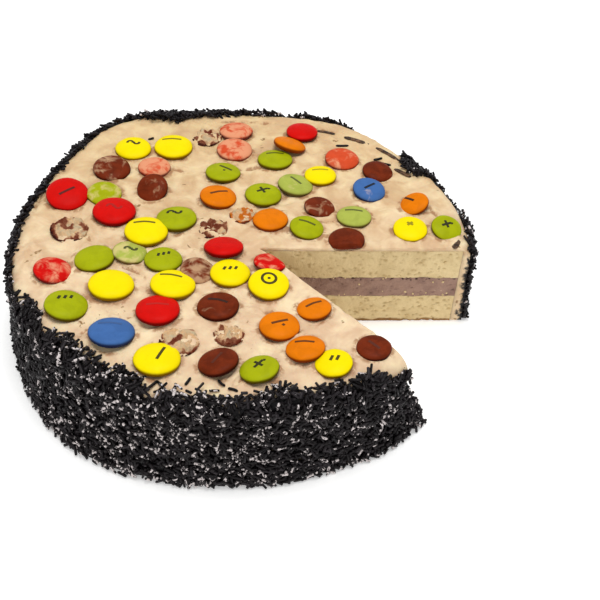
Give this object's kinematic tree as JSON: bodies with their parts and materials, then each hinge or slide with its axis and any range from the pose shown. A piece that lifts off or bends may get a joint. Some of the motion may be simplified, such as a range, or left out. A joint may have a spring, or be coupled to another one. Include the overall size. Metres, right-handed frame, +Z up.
{
  "type": "chocolate candy cake",
  "caption": "Round iced layer cake with a wedge cut out: nut cream between sponge layers, dark chocolate sprinkles round the side and coloured candy sweets on top.",
  "frame": {"origin": "on the surface the cake stands on, under the middle of the cake", "axes": "+Z is up; seen from the front, along +Y, +X is to the right; the wedge was cut out at the right, between straight right and the front right"},
  "size_m": [0.27, 0.2654, 0.0644],
  "materials": {
    "sponge": "open porous crumb, matt",
    "nut_cream": "matt, a little grainy",
    "cream_icing": "soft satin, spread with a knife",
    "candy_yellow": "satin sugar shell",
    "candy_red": "satin sugar shell",
    "candy_salmon": "satin sugar shell, bloomed",
    "candy_orange": "satin sugar shell",
    "candy_green": "satin sugar shell",
    "candy_pale_green": "satin sugar shell, bloomed",
    "candy_blue": "satin sugar shell",
    "candy_brown": "satin sugar shell",
    "dark_chocolate": "dull satin sprinkles"
  },
  "bodies": {
    "root": {"sponge_bottom": "sponge", "filling": "nut_cream", "sponge_top": "sponge", "icing": "cream_icing", "sweet_blue_1": "candy_blue", "sweet_blue_2": "candy_blue", "sweet_brown_1": "candy_brown", "sweet_brown_2": "candy_brown", "sweet_brown_3": "candy_brown", "sweet_brown_4": "candy_brown", "sweet_brown_5": "candy_brown", "sweet_brown_6": "candy_brown", "sweet_brown_7": "candy_brown", "sweet_brown_8": "candy_brown", "sweet_brown_9": "candy_brown", "sweet_green_1": "candy_green", "sweet_green_2": "candy_green", "sweet_green_3": "candy_green", "sweet_green_4": "candy_green", "sweet_green_5": "candy_green", "sweet_green_6": "candy_green", "sweet_green_7": "candy_green", "sweet_green_8": "candy_green", "sweet_green_9": "candy_green", "sweet_green_10": "candy_green", "sweet_green_11": "candy_green", "sweet_orange_1": "candy_orange", "sweet_orange_2": "candy_orange", "sweet_orange_3": "candy_orange", "sweet_orange_4": "candy_orange", "sweet_orange_5": "candy_orange", "sweet_orange_6": "candy_orange", "sweet_orange_7": "candy_orange", "sweet_pale_green_1": "candy_pale_green", "sweet_pale_green_2": "candy_pale_green", "sweet_pale_green_3": "candy_pale_green", "sweet_red_1": "candy_red", "sweet_red_2": "candy_red", "sweet_red_3": "candy_red", "sweet_red_4": "candy_red", "sweet_red_5": "candy_red", "sweet_red_6": "candy_red", "sweet_red_7": "candy_red", "sweet_salmon_1": "candy_salmon", "sweet_salmon_2": "candy_salmon", "sweet_salmon_3": "candy_salmon", "sweet_salmon_4": "candy_salmon", "sweet_yellow_1": "candy_yellow", "sweet_yellow_2": "candy_yellow", "sweet_yellow_3": "candy_yellow", "sweet_yellow_4": "candy_yellow", "sweet_yellow_5": "candy_yellow", "sweet_yellow_6": "candy_yellow", "sweet_yellow_7": "candy_yellow", "sweet_yellow_8": "candy_yellow", "sweet_yellow_9": "candy_yellow", "sweet_yellow_10": "candy_yellow", "sweet_yellow_11": "candy_yellow"}
  },
  "joints": []
}
